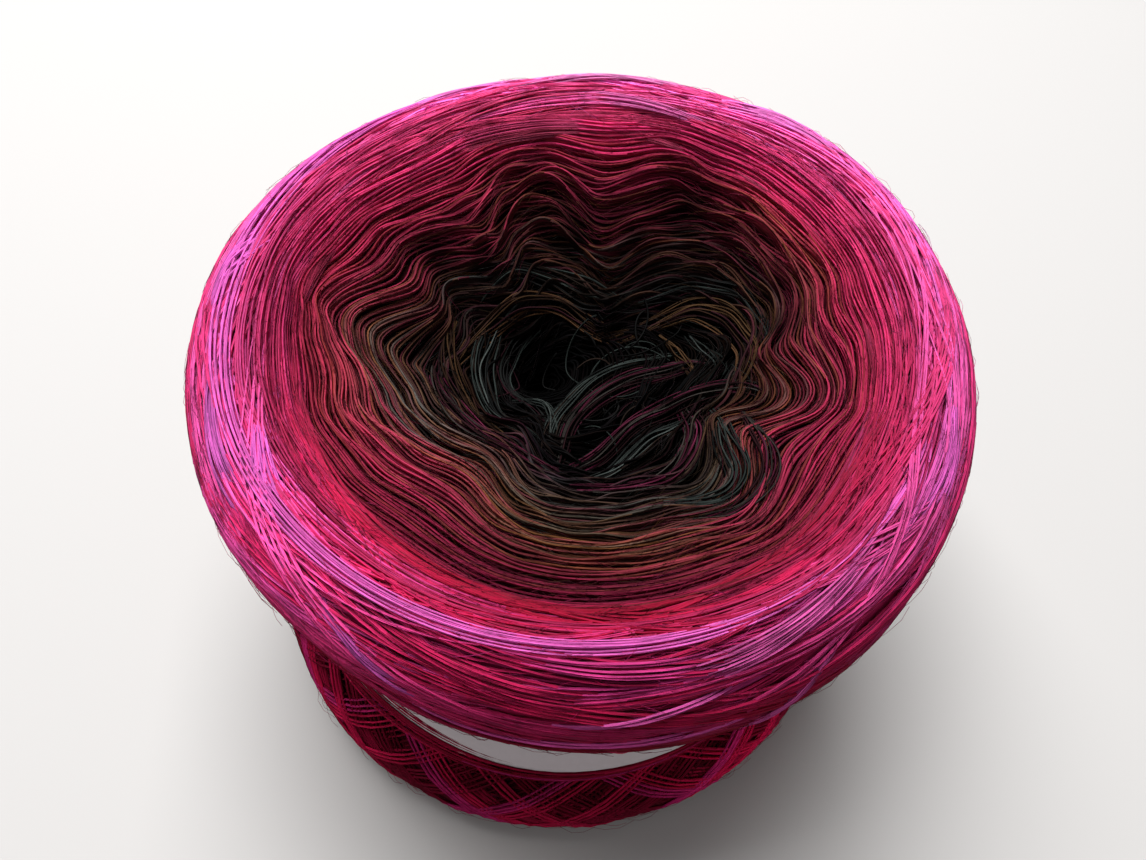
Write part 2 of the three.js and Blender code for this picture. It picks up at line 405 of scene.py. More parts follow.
def makeStrands(name, strands, material):
    sides = yarnFacts["sides"]
    points, quads, colours, alongs, ends = [], [], [], [], []
    start = 0
    for number, (path, up, colour, radius, closed) in enumerate(strands):
        count = len(path)
        if closed:
            ahead = np.roll(path, -1, 0) - np.roll(path, 1, 0)
        else:
            ahead = np.gradient(path, axis=0)
        ahead = unit(ahead)
        side = unit(np.cross(ahead, up))
        over = np.cross(side, ahead)
        turns = angles(sides)[:, None] + math.pi / 2
        ring = path[:, None] + radius * (np.cos(turns) * side[:, None] + np.sin(turns) * over[:, None])
        points.append(ring.reshape(-1, 3))
        colours.append(np.repeat(np.broadcast_to(colour, (count, 3)), sides, axis=0))
        way = running(np.linalg.norm(np.diff(np.concatenate([path, path[:1]]), axis=0), axis=1))
        rings = np.arange(count if closed else count - 1)
        following = (rings + 1) % count
        for s in range(sides):
            t = (s + 1) % sides
            quads.append(np.stack([start + rings * sides + s, start + following * sides + s,
                                   start + following * sides + t, start + rings * sides + t], 1))
            near = np.full(len(rings), number + s / sides)
            far = np.full(len(rings), number + (s + 1) / sides)
            alongs.append(np.stack([way[rings], near, way[rings + 1], near,
                                    way[rings + 1], far, way[rings], far], 1))
        if not closed:
            ends.append([start + s for s in range(sides)])
            ends.append([start + (count - 1) * sides + s for s in reversed(range(sides))])
        start += count * sides
    points = np.concatenate(points) * mm
    points[:, 2] = np.maximum(points[:, 2], 0)  # nothing goes under the floor
    quads = np.concatenate(quads)
    alongs = np.concatenate(alongs)
    colours = np.concatenate(colours)
    ends = np.array(ends, dtype=int).reshape(-1, sides)
    mesh = bpy.data.meshes.new(name)
    mesh.vertices.add(len(points))
    mesh.vertices.foreach_set("co", points.ravel())
    corners = np.concatenate([quads.ravel(), ends.ravel()])
    mesh.loops.add(len(corners))
    mesh.loops.foreach_set("vertex_index", corners)
    mesh.polygons.add(len(quads) + len(ends))
    endStarts = len(quads) * 4 + np.arange(len(ends)) * sides
    starts = np.concatenate([np.arange(len(quads)) * 4, endStarts])
    mesh.polygons.foreach_set("loop_start", starts)
    mesh.polygons.foreach_set("use_smooth", np.ones(len(starts), bool))
    mesh.update(calc_edges=True)
    lay = mesh.uv_layers.new(name="lay")
    flat = np.concatenate([alongs.reshape(-1, 2), np.zeros((ends.size, 2))])
    lay.data.foreach_set("uv", flat.ravel())
    paintPoints(mesh, colours)
    print(name, len(strands), "strands", len(quads) * 2 + len(ends), "triangles")
    dress(addObject(name, mesh), material)


def makeYarnMaterial(name, sheen, gloss, contrast):
    recipe = Recipe(name)
    colour = recipe.node("ShaderNodeAttribute", {"attribute_name": "yarnColourWithPaintedLight"})
    lay = recipe.node("ShaderNodeUVMap", {"uv_map": "lay"})
    along = recipe.node("ShaderNodeSeparateXYZ", None, {0: lay})
    aroundIt = Shade(recipe, along.socket.node.outputs[1])
    stretched = recipe.node("ShaderNodeCombineXYZ", None, {0: along / yarnFacts["fibreLength"],
                                                           1: aroundIt * yarnFacts["fibresAround"]})
    fibres = recipe.node("ShaderNodeTexNoise", None,
                         {"Vector": stretched, "Scale": 1.0, "Detail": 2.0, "Roughness": 0.65})
    place = recipe.node("ShaderNodeTexCoord", None, None, output=3)
    blotch = recipe.node("ShaderNodeTexNoise", None,
                         {"Vector": place, "Scale": yarnFacts["blotchScale"], "Detail": 1.0})
    plies = ((along / yarnFacts["pliesPitch"] + aroundIt * yarnFacts["pliesAround"]) * (2 * math.pi)).sine()
    # the fibre streaks and ply stripes in the colour are partly fibre tone and partly painted glints
    grey = fibres * contrast + blotch * 0.5 + plies * 0.15 + (0.75 - contrast / 2)
    height = plies * 0.4 + fibres * 1.5
    bump = recipe.node("ShaderNodeBump", None,
                       {"Strength": 0.9, "Distance": yarnFacts["pliesDepth"], "Height": height})
    return recipe.shade(Base_Color=recipe.tint(colour, grey),
                        Roughness=fibres * 0.3 + (yarnFacts["roughness"] - 0.15), Normal=bump,
                        Sheen_Weight=sheen, Sheen_Roughness=yarnFacts["sheenRoughness"],
                        Sheen_Tint=yarnFacts["sheenTint"], Specular_IOR_Level=gloss)


rimMaterial = makeYarnMaterial("dyedWoolOfTheRim", 0.03, 0.10, 1.0)
yarnMaterial = makeYarnMaterial("dyedWoolStrand", 0.0, 0.06, 1.5)
# a shaded copy for the well, its gloss turned down as painted shade
darkMaterial = makeYarnMaterial("dyedWoolInShade", 0.0, 0.02, 1.5)


def dress(piece, material):
    piece.data.materials.clear()
    piece.data.materials.append(material)
    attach(piece, "root")


# the loose turns of the sunken top

foldFacts = {  # degrees, radius, push outwards, half width in degrees, reach in mm, slant
    "far tuck": (78, 27, -9, 16, 14, 0.6),
    "right lobe": (30, 22, 8, 32, 14, 0.4),
    "right eye": (22, 15, 4.5, 17, 6, 0),
    "far right lobe": (64, 34, 4, 9, 8, 0.8),
    "far left lobe": (102, 33, 3.5, 9, 9, 0),
    "left back tuck": (130, 32, -5.5, 13, 12, 0),
    "left inner lobe": (150, 22, 3, 7, 5, 0),
    "left corner": (176, 31, 5, 13, 11, -0.6),
    "left front tuck": (233, 30, -4.8, 17, 13, 0.2),
    "inner front tuck": (230, 16, -2.5, 16, 5, 0),
    "front lobe": (309, 30, 3, 11, 12, 0),
    "right front tuck": (331, 28, -4.5, 8, 7, -0.8),
    "right front lobe": (347, 33, 4.5, 9, 8, 0),
    "right tuck": (1, 29, -3.5, 7, 5, 0),
    "left shoulder": (142, 34, 1.4, 7, 6, 0),
    "left step": (157, 31, -2.4, 7, 7, 0),
    "left outer corner": (172, 35, 1.2, 6, 7, 0),
}

topOutline = [  # turn and height from the well to the crest
    (0, 55.4), (3, 55.4), (6, 55.6), (9.5, 56.4), (13, 57.6), (17.4, 59.4), (22.2, 61.8), (27, 64.7),
    (31.8, 67.4), (36.6, 70.2), (41.2, 72.6), (43.5, 74.4), (46, 76.6), (48.6, 78.2), (51.3, 78.6),
    (54, 77.2),
]

hollowFacts = {  # x, y from the middle of the rim, radius, depth
    "well": (-8.5, 7.5, 6.5, 10.5),
    "right eye": (20, 14, 6, 4.5),
    "front slit": (4, -15, 4, 3.5),
    "far pocket": (-4, 26, 5, 3.5),
    "far right pocket": (16, 30, 5.5, 3),
    "left pocket": (-26, 4, 4, 2),
    "right slit": (14, -8, 3.5, 2.5),
}

# painted shade: the strands in the hollows between the folds are darkened nearly to black
hollowPaintedShadeFacts = [  # x, y from the middle of the rim, reach and share
    (-1, 26.5, 4.5, 0.85), (18, 31.5, 5.5, 0.8), (17, 18, 5, 0.95), (-7, 19, 3.5, 0.9),
    (-25, 18.5, 3.5, 0.85), (-26, 4, 3, 0.85), (3, 13, 4, 0.95), (13.5, -5.5, 3, 0.9),
    (4, -14.5, 3.5, 0.95), (24, 5, 3, 0.9), (31, 6, 3, 0.8), (-8.5, 7, 7, 0.95), (8, 24, 4, 0.7),
    (-17, 18, 3.5, 0.7),
]

# painted light: patches where the turns are painted lighter
paintedLightFacts = [  # degrees, turn, half width in degrees and in mm, and how much lighter the turns look there
    (190, 32, 42, 7, 1.3), (262, 27, 55, 10, 1.7), (350, 35, 40, 8, 0.7), (40, 38, 25, 6, 0.4),
    (90, 44, 60, 5, 0.5),
]

turnFacts = {
    "layers": 3,
    "first": 2.6,
    "last": 51.5,
    "spacing": 0.47,
    "thickness": 0.54,
    "fineStep": 0.45,
    "rounding": 14,
    "fineness": 0.46,
    "leastBend": 0.025,
    "wellPlace": (-8.5, 6.5),
    "wellReach": 17.0,
    "wellUpTo": 19,
    "innerUpTo": 34,
    "looseUpTo": 43,
    # painted shade of the turns in the well
    "wellPaintedShade": 0.4,
    "ownShare": 0.8,  # of its own thread in a strand's colour
    "bunchWidth": 2.7,  # turns lie together in locks about this wide
    "wideBunchWidth": 6.1,
    "bunchPull": 0.40,
    "bunchRelief": 0.85,
    "waveHeight": 0.42,
    "fineWaveHeight": 0.12,
    "wavesChange": (17, 27),
}

layFacts = {  # the waves round a turn, and how fast they move from turn to turn
    "bunch": ((1, 2, 3, 5, 7, 9), 0.12),
    "wideBunch": ((2, 3, 4, 6, 11), 0.2),
    "outer": ((14, 16, 19, 21), 0.10),
    "inner": ((7, 9, 11, 13), 0.14),
    "fine": ((30, 34, 39, 43), 0.2),
    "relief": ((3, 5, 8, 13, 17), 0.5),
}


def foldOf(radius, degrees):
    total = np.zeros_like(degrees)
    for atDeg, atRadius, push, halfWidth, reach, slant in foldFacts.values():
        apart = apartFrom(degrees, atDeg + slant * (radius - atRadius))
        total += push * np.exp(-((radius - atRadius) / reach) ** 2 - (apart / halfWidth) ** 2)
    return total * ease(4, 15, radius)


def settleTurn(turn, radius, theta):  # a turn's place in plan, and the height that the turn keeps
    settle = 1 - ease(0, turnFacts["wellReach"], turn)
    x = radius * np.cos(theta) + turnFacts["wellPlace"][0] * settle
    y = radius * np.sin(theta) + turnFacts["wellPlace"][1] * settle
    z = np.interp(turn, *zip(*topOutline)) + 0 * x
    for hollowX, hollowY, reach, depth in hollowFacts.values():
        z = z - depth * np.exp(-((x - hollowX) ** 2 + (y - hollowY) ** 2) / reach ** 2)
    return x + rimX, y + rimY, z


def farShare(theta, turn):  # the outer folds are deep and open at the far side, and shallow elsewhere
    return 1 - 0.6 * ease(20, 27, turn) * (1 - bellAt(theta, 88, 62))


# painted shade: how much darker the strands are made in the hollows
def paintedHollowShade(x, y):
    dark = 0 * x
    for atX, atY, reach, share in hollowPaintedShadeFacts:
        apart = (x - rimX - atX) ** 2 + (y - rimY - atY) ** 2
        dark = np.maximum(dark, share * np.exp(-apart / reach ** 2))
    return dark


class RingNoise:  # a smooth random value over angle and turn, which closes on itself
    def __init__(self, chance, waves=(1, 2, 3), drift=0.0):
        self.waves = np.array(waves)
        self.phases = chance.uniform(0, 2 * math.pi, len(waves))
        self.drifts = chance.uniform(-drift, drift, len(waves))
        self.second = chance.uniform(0.4, 1.0, len(waves))

    def at(self, theta, turn):
        total = np.zeros_like(theta)
        for wave, phase, drift, share in zip(self.waves, self.phases, self.drifts, self.second):
            total += share * np.sin(wave * theta + phase + drift * turn)
        return total / math.sqrt(np.sum(self.second ** 2) / 2 + 1e-9) / 1.5


waveFacts = [  # degrees, half width and how much stronger or weaker the small waves are there
    (180, 38, 0.75), (100, 42, 0.8), (12, 40, 0.8), (270, 45, -0.15),
]


def waveStrength(theta, turn):
    around = 0.35 + 0 * theta
    for atDeg, halfWidth, gain in waveFacts:
        around = around + gain * bellAt(theta, atDeg, halfWidth)
    return around * ease(9, 20, turn) * (1 - ease(39, 47, turn))


class LooseLay:  # the small waves and locks that lie over the main folds
    def __init__(self, chance):
        for name, (waves, drift) in layFacts.items():
            setattr(self, name, RingNoise(chance, waves, drift))

    def wave(self, theta, turn):
        share = ease(*turnFacts["wavesChange"], turn)
        wide = share * self.outer.at(theta, turn) + (1 - share) * self.inner.at(theta, turn)
        fine = turnFacts["fineWaveHeight"] * self.fine.at(theta, turn)
        return waveStrength(theta, turn) * (turnFacts["waveHeight"] * wide + fine)


looseLay = LooseLay(np.random.RandomState(11))


# a strand's own thread, mixed with the one that shows there
def mixedTone(fields, thread, turn, place, theta):
    weights = np.stack([np.exp(1.1 * field.at(theta, turn)) for field in fields])
    for which, atDeg, atTurn, halfWidth, reach, strength in toneFacts.values():
        apart = apartFrom(np.degrees(theta), atDeg)
        weights[which] += strength * 2 * np.exp(-(apart / halfWidth) ** 2 - ((turn - atTurn) / reach) ** 2)
    weights[thread] += weights.sum(0) * turnFacts["ownShare"]
    weights /= weights.sum(0)
    return sum(weights[which][:, None] * threadColour(which, place, theta) for which in range(4))


def closeWhereBent(path, extra):  # a closed line with fewer points, near each other where it bends
    for turn in range(turnFacts["rounding"]):
        path = (np.roll(path, 1, 0) + 2 * path + np.roll(path, -1, 0)) / 4
    ahead = np.roll(path, -1, 0) - path
    spans = np.linalg.norm(ahead, axis=1)
    ahead /= spans[:, None]
    bend = np.linalg.norm(ahead - np.roll(ahead, 1, 0), axis=1) / spans
    for turn in range(6):
        bend = (np.roll(bend, 1) + bend + np.roll(bend, -1)) / 3
    marks = running(spans * np.sqrt(bend + turnFacts["leastBend"]))
    count = max(14, int(marks[-1] / turnFacts["fineness"]))
    at = np.arange(count) * marks[-1] / count
    both = np.concatenate([path, extra], 1)
    both = between(at, marks, np.concatenate([both, both[:1]]))
    return both[:, :3], both[:, 3:]


def restingTurn(turn, theta, least):  # a turn that lies in the waves and folds alone
    radius = np.maximum(turn + looseLay.wave(theta, turn) + foldOf(turn, np.degrees(theta)), least)
    return settleTurn(turn, radius, theta)


def upright(count):
    return np.tile([0.0, 0.0, 1.0], (count, 1))


def makeTopTurns():
    chance = np.random.RandomState(12)
    strands = {"wellTurns": [], "innerTurns": [], "outerTurns": []}
    fields = [RingNoise(chance, (1, 2, 3, 4, 6), 0.35) for which in range(4)]
    for layer in range(turnFacts["layers"]):
        count = int((turnFacts["last"] - turnFacts["first"]) / turnFacts["spacing"])
        for index in range(count):
            shift = index + layer / 3 + chance.uniform(-0.3, 0.3)
            turn = turnFacts["first"] + shift * turnFacts["spacing"]
            steps = max(40, int(2 * math.pi * turn / turnFacts["fineStep"]))
            theta = angles(steps)
            own = RingNoise(chance, (1, 2, 3, 5))
            ownLift = RingNoise(chance, (2, 3, 5, 9))
            looseness = 1 - ease(turnFacts["innerUpTo"], turnFacts["looseUpTo"], turn)
            looseness = looseness * farShare(theta, turn)
            place = turn + (0.18 + 0.2 * looseness) * own.at(theta, 0)
            lock = place / turnFacts["bunchWidth"] + 0.55 * looseLay.bunch.at(theta, turn)
            wideLock = place / turnFacts["wideBunchWidth"] + 0.5 * looseLay.wideBunch.at(theta, turn) + 0.3
            lock, wideLock = 2 * math.pi * lock, 2 * math.pi * wideLock
            pull = turnFacts["bunchPull"] * (0.35 + 0.65 * looseness)
            radius = place - pull * np.sin(lock) - 0.5 * looseness * np.sin(wideLock)
            radius = radius + looseLay.wave(theta, turn)
            radius = np.maximum(radius + foldOf(turn, np.degrees(theta)), 0.8)
            x, y, z = settleTurn(turn, radius, theta)
            relief = 0.25 + 0.75 * looseness
            lift = (turnFacts["bunchRelief"] * relief * np.cos(lock)
                    + 0.9 * looseness * np.cos(wideLock)
                    + 0.3 * looseness * looseLay.relief.at(theta, turn)
                    + 0.12 * ownLift.at(theta, 0) - 0.6 * layer + 0.1)
            thread = (index + layer * 2 + int(chance.randint(0, 2))) % 4
            spot = turn + 1.4 * own.at(theta + 1.3, 0) + chance.uniform(-1.0, 1.0)
            shade = mixedTone(fields, thread, turn, spot, theta) * chance.uniform(0.75, 1.25)
            # painted light and shade: lower layers darker, the raised locks lighter, the hollows darker
            lit = 1.1 - 0.25 * layer + looseness * (0.3 * np.cos(lock) + 0.3 * np.cos(wideLock))
            lit = np.maximum(lit, 0.15) * (1 - paintedHollowShade(x, y))
            kind = "outerTurns"
            # the turns in the well are painted darker still, as painted shade
            if turn < turnFacts["wellUpTo"]:
                kind, lit = "wellTurns", lit * turnFacts["wellPaintedShade"]
            elif turn < turnFacts["innerUpTo"]:
                kind = "innerTurns"
            for atDeg, atTurn, halfWidth, reach, gain in paintedLightFacts:
                near = math.exp(-((turn - atTurn) / reach) ** 2)
                lit = lit * (1 + gain * bellAt(theta, atDeg, halfWidth) * near)
            path, shade = closeWhereBent(np.stack([x, y, z + lift], 1), shade * lit[:, None])
            thick = turnFacts["thickness"] / 2 * chance.uniform(0.85, 1.1)
            strands[kind].append((path, upright(len(path)), shade, thick, True))
    for name in strands:
        makeStrands(name, strands[name], darkMaterial if name == "wellTurns" else yarnMaterial)


print("loose turns of the sunken top")
makeTopTurns()


# the body under the strands, a little inside them, darkened as painted shade where it shows between them

coreFacts = {
    "around": 160,
    "step": 1.2,  # mm along the wall
    "inset": 1.35,
    "rimInset": 0.75,
    "wallDownTo": 49,  # where the wall's rings end inside the crest
    "wallTurn": 54.0,
    "topFrom": 47.0,
    "topStep": 0.9,
    "topInset": 3.0,
    "paintedShadeTop": 0.22,
    "rimColour": "#A81C54",
}


def makeCore():
    around = coreFacts["around"]
    theta = angles(around)
    rings, turns = [], []
    for place in np.arange(0.0, wallField.total, coreFacts["step"]):
        inset = coreFacts["inset"] + (coreFacts["rimInset"] - coreFacts["inset"]) * ease(56, 66, place)
        ring = wallField.at(theta, np.full(around, place), -inset)[0]
        if place > 60 and np.hypot(ring[0, 0] - rimX, ring[0, 1] - rimY) < coreFacts["wallDownTo"]:
            break
        if place == 0:
            ring[:, 2] = 0.0
        rings.append(ring)
        turns.append(coreFacts["wallTurn"])
    for turn in np.arange(coreFacts["topFrom"], coreFacts["topStep"], -coreFacts["topStep"]):
        x, y, z = restingTurn(turn, theta, 0.6)
        deep = coreFacts["topInset"] * (1 - ease(35, 45, turn)) * farShare(theta, turn)
        rings.append(np.stack([x, y, z - deep - 1.0], 1))
        turns.append(turn)
    count = len(rings)
    points = np.concatenate(rings + [rings[-1].mean(0)[None], [[0, 0, 0.0]]]) * mm
    faces = []
    for ring in range(count - 1):
        for at in range(around):
            after = (at + 1) % around
            faces.append((ring * around + at, ring * around + after,
                          (ring + 1) * around + after, (ring + 1) * around + at))
    for at in range(around):
        after = (at + 1) % around
        faces.append(((count - 1) * around + at, (count - 1) * around + after, count * around))
        faces.append((after, at, count * around + 1))
    mesh = bpy.data.meshes.new("cakeCore")
    mesh.from_pydata(points.tolist(), [], faces)
    turn = np.concatenate([np.repeat(turns, around), [turns[-1], coreFacts["wallTurn"]]])
    colours = (threadColour(1, turn) + threadColour(2, turn)) / 2
    # painted shade: the core is dark inside the loose turns, so the gaps between strands look deep
    colours *= (coreFacts["paintedShadeTop"] + 0.4 * ease(34, 43, turn))[:, None]
    colours[turn > 45] = linearColour(coreFacts["rimColour"])
    # painted shade: darker below the bulge, and darker again lower down
    colours[points[:, 2] < 62 * mm] *= 0.4
    colours[points[:, 2] < 50 * mm] *= 0.5
    paintPoints(mesh, colours)
    mesh.uv_layers.new(name="lay")
    mesh.polygons.foreach_set("use_smooth", np.ones(len(mesh.polygons), bool))
    core = addObject("cakeCore", mesh)
    dress(core, yarnMaterial)
    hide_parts("wound_cake")


print("core under the strands")
makeCore()


# the taut turns over the rim and down to the waist

rimFacts = {
    "bundles": 100,
    "goldenShare": 0.618034,  # spreads the bundles evenly in an uneven order
    "strandsEach": (2, 5),
    "spacing": 0.43,
    "thickness": 0.52,
    "step": 3.1,
    "rise": 0.95,  # how far the last bundles lie over the first
    "sway": (4.0, 2.6, 1.2),  # mm across the turns, for one, two and three waves round
    "frontBack": 5.0,  # at the front the innermost turns stay this much nearer the crest
    "crossings": {  # from and to degrees, and how steeply strands cross there
        "left front": (195, 240, 0.26),
        "right front": (300, 345, 0.26),
        "far": (60, 120, 0.08),
    },
    "crossHalfWidth": 42,
    "lowest": 46.5,
    "underUpTo": 0.48,
    "outsideUpTo": 0.80,
}

# the darker crimsons under the bulge are partly the yarn's colour and partly painted shade
rimColours = {  # share of the strands and their colour, under the bulge, outside, and inside the crest
    "under": [(0.40, "#961038"), (0.35, "#A81842"), (0.25, "#780A30")],
    "outside": [(0.22, "#B8265A"), (0.26, "#C63C82"), (0.20, "#D0549C"), (0.16, "#C85CAE"),
                (0.16, "#98184A")],
    "inside": [(0.34, "#A41E48"), (0.26, "#B83670"), (0.08, "#C04C98"), (0.32, "#861638")],
}

# the dark crimsons under the bulge and at the inner edge are partly the yarn's colour and partly painted
# shade
zoneColoursAndShade = [  # way along the outline, colour that the strands there tend to, and its share
    (54, "#6A061E", 0.95), (70, "#7C0824", 0.93), (77, "#A8164A", 0.68), (84, "#C4347A", 0.35),
    (92, "#C84288", 0.3), (97, "#B01C50", 0.4), (100.5, "#8A1034", 0.7), (104, "#4A0C1C", 0.8),
]

# painted light and shade: degrees, half width and how much lighter or darker the rim is painted there
rimPaintedLightFacts = [(85, 60, 0.95), (270, 30, -0.1), (222, 24, 0.6)]


def zonedWithPaintedLight(colour, along, theta):
    at = along + 4.0 * bellAt(theta, 270, 50) * ease(88, 96, along)
    zone = colourAt(zoneColoursAndShade, at)
    share = np.interp(at, [stop[0] for stop in zoneColoursAndShade], [stop[2] for stop in zoneColoursAndShade])[:, None]
    # painted light and shade round the rim
    bright = 1
    for atDeg, halfWidth, gain in rimPaintedLightFacts:
        bright = bright + gain * bellAt(theta, atDeg, halfWidth)
    # painted shade: the shaded front is made redder, with less lilac
    red = np.array([0.0, 1.0, 0.7]) * (0.58 * bellAt(theta, 270, 45))[:, None]  # the front shows less lilac
    # painted sheen: the far side is made paler
    pale = np.array([0.02, 0.035, 0.05]) * bellAt(theta, 85, 70)[:, None]
    return (colour * (1 - share) + zone * share) * bright[:, None] * (1 - red) + pale


accentFacts = {  # strands, colour, then from and to: degrees, way along the outline, width
    "left wedge": (11, "#C85AB0", (192, 89.5, 0.6), (218, 86.5, 3.6)),
    "left inner wedge": (9, "#C85AB0", (200, 95, 0.6), (226, 91, 3.0)),
    "left back streak": (9, "#C454A8", (184, 88, 1.0), (164, 92, 3.0)),
    "left front streak": (8, "#C050A4", (232, 86, 0.8), (252, 78, 2.4)),
    "right front streak": (9, "#C04E92", (318, 91, 0.8), (276, 86, 3.2)),
    "right low streak": (7, "#BC4A8E", (306, 84, 0.8), (286, 66, 2.4)),
    "right streak": (10, "#C854A8", (348, 90, 1.0), (322, 86, 3.4)),
    "right back streak": (9, "#D45CB0", (356, 92, 0.8), (24, 90, 3.0)),
    "far right streak": (11, "#E070BC", (36, 90, 0.8), (66, 93, 2.6)),
    "far left streak": (10, "#E070BC", (100, 92, 0.8), (132, 89, 2.6)),
    "far streak": (12, "#EC84C4", (66, 91, 0.8), (112, 93, 2.6)),
    "far inner streak": (9, "#E06CB0", (58, 97, 0.8), (98, 96, 2.0)),
    "far outer streak": (9, "#E478BC", (92, 88, 0.8), (128, 90, 2.0)),
    "long front strand": (3, "#CC4C98", (246, 74, 0.6), (296, 77, 1.0)),
    "front strand": (3, "#DC58A8", (262, 79, 0.6), (292, 84, 1.0)),
    "red strand": (4, "#C41C50", (271, 71, 0.9), (283, 60, 0.5)),
    "red front": (12, "#B81A50", (240, 88, 1.0), (278, 83, 3.0)),
    "pink front": (5, "#C83880", (256, 90, 1.0), (290, 88, 2.6)),
}


def makeRimTurns():
    chance = np.random.RandomState(23)
    strands = {"rimTurnsUnder": [], "rimTurnsOver": [], "rimStreaks": []}
    low, high = wallField.alongAt(rimFacts["lowest"]), wallField.total - 0.5
    count = rimFacts["bundles"]
    steps = int(2 * math.pi * cakeFacts["rimRadius"] / rimFacts["step"])
    theta = angles(steps)
    reach = high - low - rimFacts["frontBack"] * bellAt(theta, 270, 50)
    for index in range(count):
        middle = (index * rimFacts["goldenShare"]) % 1.0
        where = "under" if middle < rimFacts["underUpTo"] else "outside"
        where = where if middle < rimFacts["outsideUpTo"] else "inside"
        colour = pickColour(rimColours[where], chance)
        share = np.full(steps, 0.03 + 0.94 * middle)
        for wave in range(3):
            sway = rimFacts["sway"][wave] * chance.uniform(0.3, 1.0) / reach
            share = share + sway * np.sin((wave + 1) * theta + chance.uniform(0, 2 * math.pi))
        for fromDeg, toDeg, slope in rimFacts["crossings"].values():
            atDeg = chance.uniform(fromDeg, toDeg)
            apart = apartFrom(np.degrees(theta), atDeg)
            lean = chance.uniform(-slope, slope) * np.radians(apart)
            lean = lean * np.exp(-(apart / rimFacts["crossHalfWidth"]) ** 2)
            share = share + lean * (cakeFacts["rimRadius"] / reach)
        level = index / count
        many = chance.randint(*rimFacts["strandsEach"]) + 1
        spreadPhase, heavePhase = chance.uniform(0, 2 * math.pi, 2)
        for member in range(many):
            own = RingNoise(chance)
            spread = (member - (many - 1) / 2) * rimFacts["spacing"]
            spread = spread * (1.0 + 0.6 * np.sin(2 * theta + spreadPhase))
            ownShare = share + (spread + 0.35 * own.at(theta, 0)) / reach
            along = low + reach * (0.5 - 0.5 * np.cos(math.pi * ownShare))
            lift = rimFacts["rise"] * level + 0.16 * np.sin(2 * theta + heavePhase)
            lift = lift + 0.03 * own.at(theta + 2, 0) - 0.4
            path, up = wallField.at(theta, along, lift)
            shade = zonedWithPaintedLight(colour * chance.uniform(0.8, 1.2), along, theta)
            thick = rimFacts["thickness"] / 2 * chance.uniform(0.75, 1.1)
            kind = "rimTurnsUnder" if level < 0.5 else "rimTurnsOver"
            strands[kind].append((path, up, shade, thick, True))
    # bundles that come up between the others and dive again
    for many, hexCode, start, end in accentFacts.values():
        points = max(8, int(abs(end[0] - start[0]) + abs(end[1] - start[1]) / 2.5))
        way = np.linspace(0, 1, points)
        for member in range(many):
            place = (member + 0.5) / many - 0.5
            late, early = chance.uniform(0, 0.25), chance.uniform(0.75, 1)
            at = late + (early - late) * way
            turn = np.radians(start[0] + (end[0] - start[0]) * at)
            spread = (start[2] + (end[2] - start[2]) * at) * place * 1.3 + chance.uniform(-0.2, 0.2)
            along = start[1] + (end[1] - start[1]) * ease(-0.15, 1.15, at) + spread
            lift = -0.5 + 1.35 * np.sin(math.pi * way) ** 0.5 - 0.25 * abs(place)
            lift = lift + chance.uniform(-0.12, 0.12)
            path, up = wallField.at(turn % (2 * math.pi), along, lift)
            shade = linearColour(hexCode) * chance.uniform(0.7, 1.25)
            thick = rimFacts["thickness"] / 2 * chance.uniform(0.7, 1.05)
            strands["rimStreaks"].append((path, up, shade, thick, False))
    for name in strands:
        makeStrands(name, strands[name], rimMaterial)


print("turns over the rim")
makeRimTurns()


# the crossed lay of the lower wall

latticeFacts = {
    # the deeper layers are painted darker, as painted shade under the ones above
    "layers": [  # bundles, strands in each, depth and brightness
        (5, 3, 0.0, 1.1),
        (5, 3, 0.55, 0.6),
        (6, 4, 1.1, 0.35),
    ],
    "spacing": 0.74,
    "thickness": 0.58,
    "step": 2.6,
    "wavesInTwoTurns": 9,
    "flatTurns": 50,
    "flatStep": 3.6,
    "flatRadius": 0.25,
    "flatPaintedShade": 0.3,
    "top": 24.6,
}

# the lower wall's crimsons, darker and redder than the rim's: partly the yarn's colour and partly painted
# shade
wallColoursAndShade = [(0.40, "#8E0A2E"), (0.30, "#A8103C"), (0.08, "#A01C58"), (0.22, "#6C0624")]

edgeFacts = {
    "footTurns": 28,
    "footFrom": 22.4,
    "footTop": 25.4,
    "footRadius": 50.4,
    "footRise": 6.6,  # how much higher they come at their highest
    "footAtDeg": 225,
    "footHalfWidth": 34,
    "slackTurns": 30,
    "slackFrom": 48.7,
    "slackRadius": 53.6,
    "slackDrop": 4.5,
    "thickness": 0.42,
}


